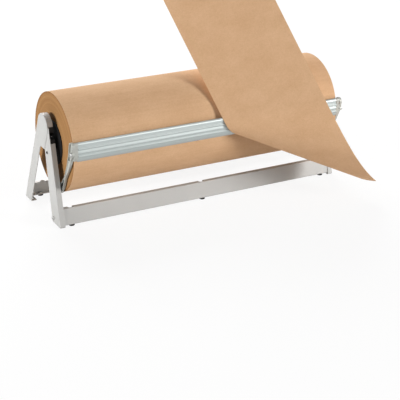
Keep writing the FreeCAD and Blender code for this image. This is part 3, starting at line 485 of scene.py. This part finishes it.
def make_paper_roll():
    length = ROLL_HIGH.x - ROLL_LOW.x
    deselect_all()
    bpy.ops.mesh.primitive_cylinder_add(
        vertices=ROLL_SEGMENTS, radius=ROLL_RADIUS, depth=length, location=ROLL_CENTRE,
        rotation=(0, math.pi / 2, 0))
    roll = bpy.context.object
    bpy.ops.object.transform_apply(location=True, rotation=True, scale=True)
    ring_width = (ROLL_RADIUS - CORE_RADIUS) / ROLL_RINGS
    for side in (-1, 1):
        start_editing(roll)
        select_faces(roll, lambda face: face.normal.x * side > 0.9)
        depth_before = 0.0
        for ring in range(ROLL_RINGS):
            chance = noise.noise(Vector((ring * RING_SPREAD, side * SIDE_SPREAD, 0.0)))
            depth = -RING_STEP * (0.5 + chance)
            bpy.ops.mesh.inset(thickness=ring_width, depth=depth - depth_before)
            depth_before = depth
        bpy.ops.mesh.delete(type="FACE")
        bpy.ops.object.mode_set(mode="OBJECT")
    start_editing(roll)
    bpy.ops.object.mode_set(mode="EDIT")
    bpy.ops.mesh.select_mode(type="EDGE")
    bpy.ops.mesh.select_non_manifold(extend=False)
    bpy.ops.mesh.bridge_edge_loops()
    bpy.ops.mesh.select_all(action="SELECT")
    bpy.ops.mesh.normals_make_consistent(inside=False)
    bpy.ops.object.mode_set(mode="OBJECT")
    roll = finish_piece(roll, "wound_paper_roll", 30)
    roll.data.materials.append(FINISHES["kraft_paper"])
    roll.data.materials.append(PAPER_EDGES)
    for face in roll.data.polygons:
        face.material_index = 1 if abs(face.normal.x) > 0.5 else 0
    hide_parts("paper_roll")
    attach(roll, "roll")


# Pulled-out sheet: a flat rectangle held at the blade on its right half, bent along lines that fan out
SHEET_FLAP_COLUMNS = 44
SHEET_HELD_COLUMNS = 14
SHEET_ROWS = 26


def bend_line(step):
    """Both ends, on the flat sheet, of one of the lines that the sheet bends along."""
    share = step / SHEET_BEND_STEPS
    near = SHEET_BEND_AT_BLADE[0] + (SHEET_BEND_AT_BLADE[1] - SHEET_BEND_AT_BLADE[0]) * share
    far = SHEET_BEND_AT_EDGE[0] + (SHEET_BEND_AT_EDGE[1] - SHEET_BEND_AT_EDGE[0]) * share
    return Vector((near, 0)), Vector((far, SHEET_PULLED_LENGTH))


def place_on(plane, flat):
    origin, place, along, out = plane
    return place + along * (flat.x - origin.x) + out * (flat.y - origin.y)


def bent_planes():
    """One plane before the first bend line and one after each: a flat point, its place, and the flat axes."""
    along = Vector((1, 0, 0))
    out = Vector((0, -math.cos(SHEET_DROP), -math.sin(SHEET_DROP)))
    planes = [(Vector((0, 0)), Vector((0, *SHEET_NIP)), along, out)]
    for step in range(SHEET_BEND_STEPS + 1):
        near, far = bend_line(step)
        start = place_on(planes[-1], near)
        line = place_on(planes[-1], far) - start
        turn = Matrix.Rotation(-SHEET_BEND / (SHEET_BEND_STEPS + 1), 3, line)
        planes.append((near, start, turn @ planes[-1][2], turn @ planes[-1][3]))
    return planes


def sheet_columns():
    """Lines across the flat sheet from right to left, each with the plane that it lies on."""
    planes = bent_planes()
    leading = SHEET_PULLED_LENGTH
    columns = []
    first_near, first_far = bend_line(0)
    side_share = (SHEET_RIGHT_X - first_near.x) / (first_far.x - first_near.x)
    right_nip = Vector((SHEET_RIGHT_X, 0))
    right_side = Vector((SHEET_RIGHT_X, leading * side_share))
    for number in range(SHEET_HELD_COLUMNS):
        share = number / SHEET_HELD_COLUMNS
        columns.append((planes[0], right_nip.lerp(first_near, share), right_nip.lerp(right_side, share)))
    corner_gap = SHEET_BEND_AT_EDGE[0] - SHEET_BEND_AT_EDGE[1]
    corner_step = (SHEET_BEND_AT_EDGE[0] - SHEET_RIGHT_X) / corner_gap * SHEET_BEND_STEPS
    steps = sorted([*range(SHEET_BEND_STEPS + 1), corner_step])
    for step in steps:
        near, far = bend_line(step)
        if far.x > SHEET_RIGHT_X:
            far = near.lerp(far, (SHEET_RIGHT_X - near.x) / (far.x - near.x))
        columns.append((planes[math.ceil(step)], near, far))
    last_near, last_far = bend_line(SHEET_BEND_STEPS)
    for number in range(1, SHEET_FLAP_COLUMNS + 1):
        share = number / SHEET_FLAP_COLUMNS
        near = last_near.lerp(Vector((SHEET_LEFT_X, 0)), share)
        far = last_far.lerp(Vector((SHEET_LEFT_X, leading)), share)
        columns.append((planes[-1], near, far))
    return columns


def make_paper_sheet():
    columns = sheet_columns()
    deselect_all()
    bpy.ops.mesh.primitive_grid_add(x_subdivisions=len(columns) - 1, y_subdivisions=SHEET_ROWS)
    sheet = bpy.context.object
    vertices = sheet.data.vertices
    across = len(columns)
    for number, vertex in enumerate(vertices):
        plane, near, far = columns[number % across]
        vertex.co = place_on(plane, near.lerp(far, (number // across) / SHEET_ROWS))
    sheet.data.update()
    start_editing(sheet)
    bpy.ops.object.mode_set(mode="EDIT")
    bpy.ops.mesh.select_all(action="SELECT")
    bpy.ops.mesh.remove_doubles(threshold=0.00001)
    bpy.ops.object.mode_set(mode="OBJECT")
    thicken = sheet.modifiers.new("thickness", "SOLIDIFY")
    thicken.thickness = SHEET_THICKNESS
    thicken.offset = 0
    bpy.ops.object.modifier_apply(modifier="thickness")
    finish_piece(sheet, "pulled_out_sheet", 40)
    sheet.data.materials.append(FINISHES["kraft_paper"])
    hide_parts("paper_sheet")
    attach(sheet, "knife")
    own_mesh(sheet)


# Floor, lights and camera
def make_stage():
    deselect_all()
    bpy.ops.mesh.primitive_plane_add(size=FLOOR_SIZE, location=(0, 0, 0))
    floor = bpy.context.object
    floor.name = "pale_floor"
    material, tree, shader = new_finish("pale floor", Roughness=1.0, Specular_IOR_Level=0.0)
    path = add_node(tree, "ShaderNodeLightPath")
    seen = combine(tree, "MAXIMUM", path.outputs["Is Camera Ray"], path.outputs["Is Glossy Ray"])
    tone = mix_colour(tree, seen, FLOOR_UNSEEN_TONE, FLOOR_TONE)
    tree.links.new(tone, shader.inputs["Base Color"])
    output = tree.nodes["Material Output"]
    glow = add_node(tree, "ShaderNodeEmission")
    set_inputs(glow, Color=(1, 1, 1, 1), Strength=1.0)
    share = combine(tree, "MULTIPLY", seen, FLOOR_WHITENING)
    blend = add_node(tree, "ShaderNodeMixShader")
    tree.links.new(share, blend.inputs["Fac"])
    tree.links.new(shader.outputs["BSDF"], blend.inputs[1])
    tree.links.new(glow.outputs["Emission"], blend.inputs[2])
    tree.links.new(blend.outputs["Shader"], output.inputs["Surface"])
    floor.data.materials.append(material)


def make_world():
    world = bpy.data.worlds.new("studio")
    bpy.context.scene.world = world
    world.use_nodes = True
    tree = world.node_tree
    ambient = tree.nodes["Background"]
    set_inputs(ambient, Color=(1, 1, 1, 1), Strength=AMBIENT)
    backdrop = add_node(tree, "ShaderNodeBackground")
    set_inputs(backdrop, Color=(1, 1, 1, 1), Strength=1.0)
    path = add_node(tree, "ShaderNodeLightPath")
    seen = combine(tree, "MAXIMUM", path.outputs["Is Camera Ray"], path.outputs["Is Glossy Ray"])
    blend = add_node(tree, "ShaderNodeMixShader")
    tree.links.new(seen, blend.inputs["Fac"])
    tree.links.new(ambient.outputs["Background"], blend.inputs[1])
    tree.links.new(backdrop.outputs["Background"], blend.inputs[2])
    tree.links.new(blend.outputs["Shader"], tree.nodes["World Output"].inputs["Surface"])


def add_area_light(name, place, size, power):
    """A square soft light that points at the middle of the cutter."""
    lamp = bpy.data.lights.new(name, "AREA")
    lamp.size = size
    lamp.energy = power
    light = bpy.data.objects.new(name, lamp)
    light.location = place
    light.rotation_euler = (LAMP_TARGET - Vector(place)).to_track_quat("-Z", "Y").to_euler()
    bpy.context.scene.collection.objects.link(light)


def make_camera():
    level = math.cos(CAMERA_PITCH)
    forward = Vector((math.sin(CAMERA_YAW) * level, math.cos(CAMERA_YAW) * level, -math.sin(CAMERA_PITCH)))
    level_right = Vector((math.cos(CAMERA_YAW), -math.sin(CAMERA_YAW), 0))
    level_up = level_right.cross(forward)
    right = level_right * math.cos(CAMERA_ROLL) + level_up * math.sin(CAMERA_ROLL)
    up = level_up * math.cos(CAMERA_ROLL) - level_right * math.sin(CAMERA_ROLL)
    settings = bpy.data.cameras.new("camera")
    settings.sensor_width = SENSOR_WIDTH_MM
    settings.lens = SENSOR_WIDTH_MM * CAMERA_FOCAL_PIXELS / PHOTO_WIDTH_PIXELS
    settings.clip_end = 100
    camera = bpy.data.objects.new("camera", settings)
    turn = Matrix((right, up, -forward)).transposed().to_4x4()
    camera.matrix_world = Matrix.Translation(CAMERA_PLACE) @ turn
    bpy.context.scene.collection.objects.link(camera)
    bpy.context.scene.camera = camera


dress_frame_nodes()
make_paper_roll()
make_paper_sheet()
make_stage()
make_world()
for lamp_values in LAMPS:
    add_area_light(*lamp_values)
make_camera()
bpy.context.scene.view_settings.view_transform = "Standard"
